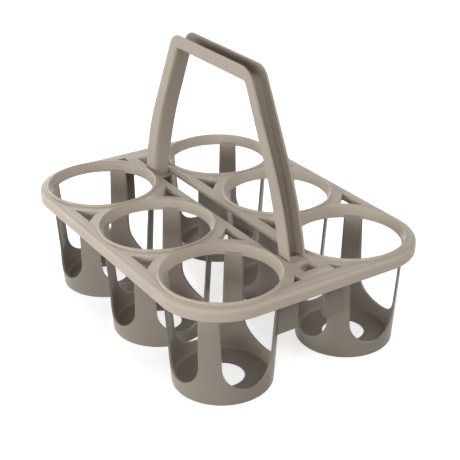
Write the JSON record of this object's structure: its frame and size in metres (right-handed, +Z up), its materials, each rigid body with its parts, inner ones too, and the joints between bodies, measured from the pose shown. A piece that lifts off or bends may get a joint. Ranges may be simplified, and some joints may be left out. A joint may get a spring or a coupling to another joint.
{
  "type": "bottle carrying caddy",
  "caption": "Handled plastic caddy with two rows of windowed round cups hung from one rimmed deck, for carrying bottles upright.",
  "frame": {"origin": "on the floor under the middle of the caddy", "axes": "+X along the rows of cups and the grip bar, +Y across the rows, +Z up"},
  "size_m": [0.3214, 0.2406, 0.245],
  "materials": {
    "deck_plastic": "satin",
    "cup_plastic": "satin",
    "handle_plastic": "satin"
  },
  "bodies": {
    "root": {"deck": "deck_plastic", "skirt": "deck_plastic", "rail_a": "deck_plastic", "rail_b": "deck_plastic", "ring_a1": "deck_plastic", "ring_a2": "deck_plastic", "ring_a3": "deck_plastic", "ring_b1": "deck_plastic", "ring_b2": "deck_plastic", "ring_b3": "deck_plastic", "staves_a1": "cup_plastic", "staves_a2": "cup_plastic", "staves_a3": "cup_plastic", "staves_b1": "cup_plastic", "staves_b2": "cup_plastic", "staves_b3": "cup_plastic", "base_a1": "cup_plastic", "base_a2": "cup_plastic", "base_a3": "cup_plastic", "base_b1": "cup_plastic", "base_b2": "cup_plastic", "base_b3": "cup_plastic", "socket_1": "deck_plastic", "socket_3": "deck_plastic", "gusset_a1": "cup_plastic", "gusset_a3": "cup_plastic", "gusset_b1": "cup_plastic", "gusset_b3": "cup_plastic", "handle": "handle_plastic"}
  },
  "joints": []
}
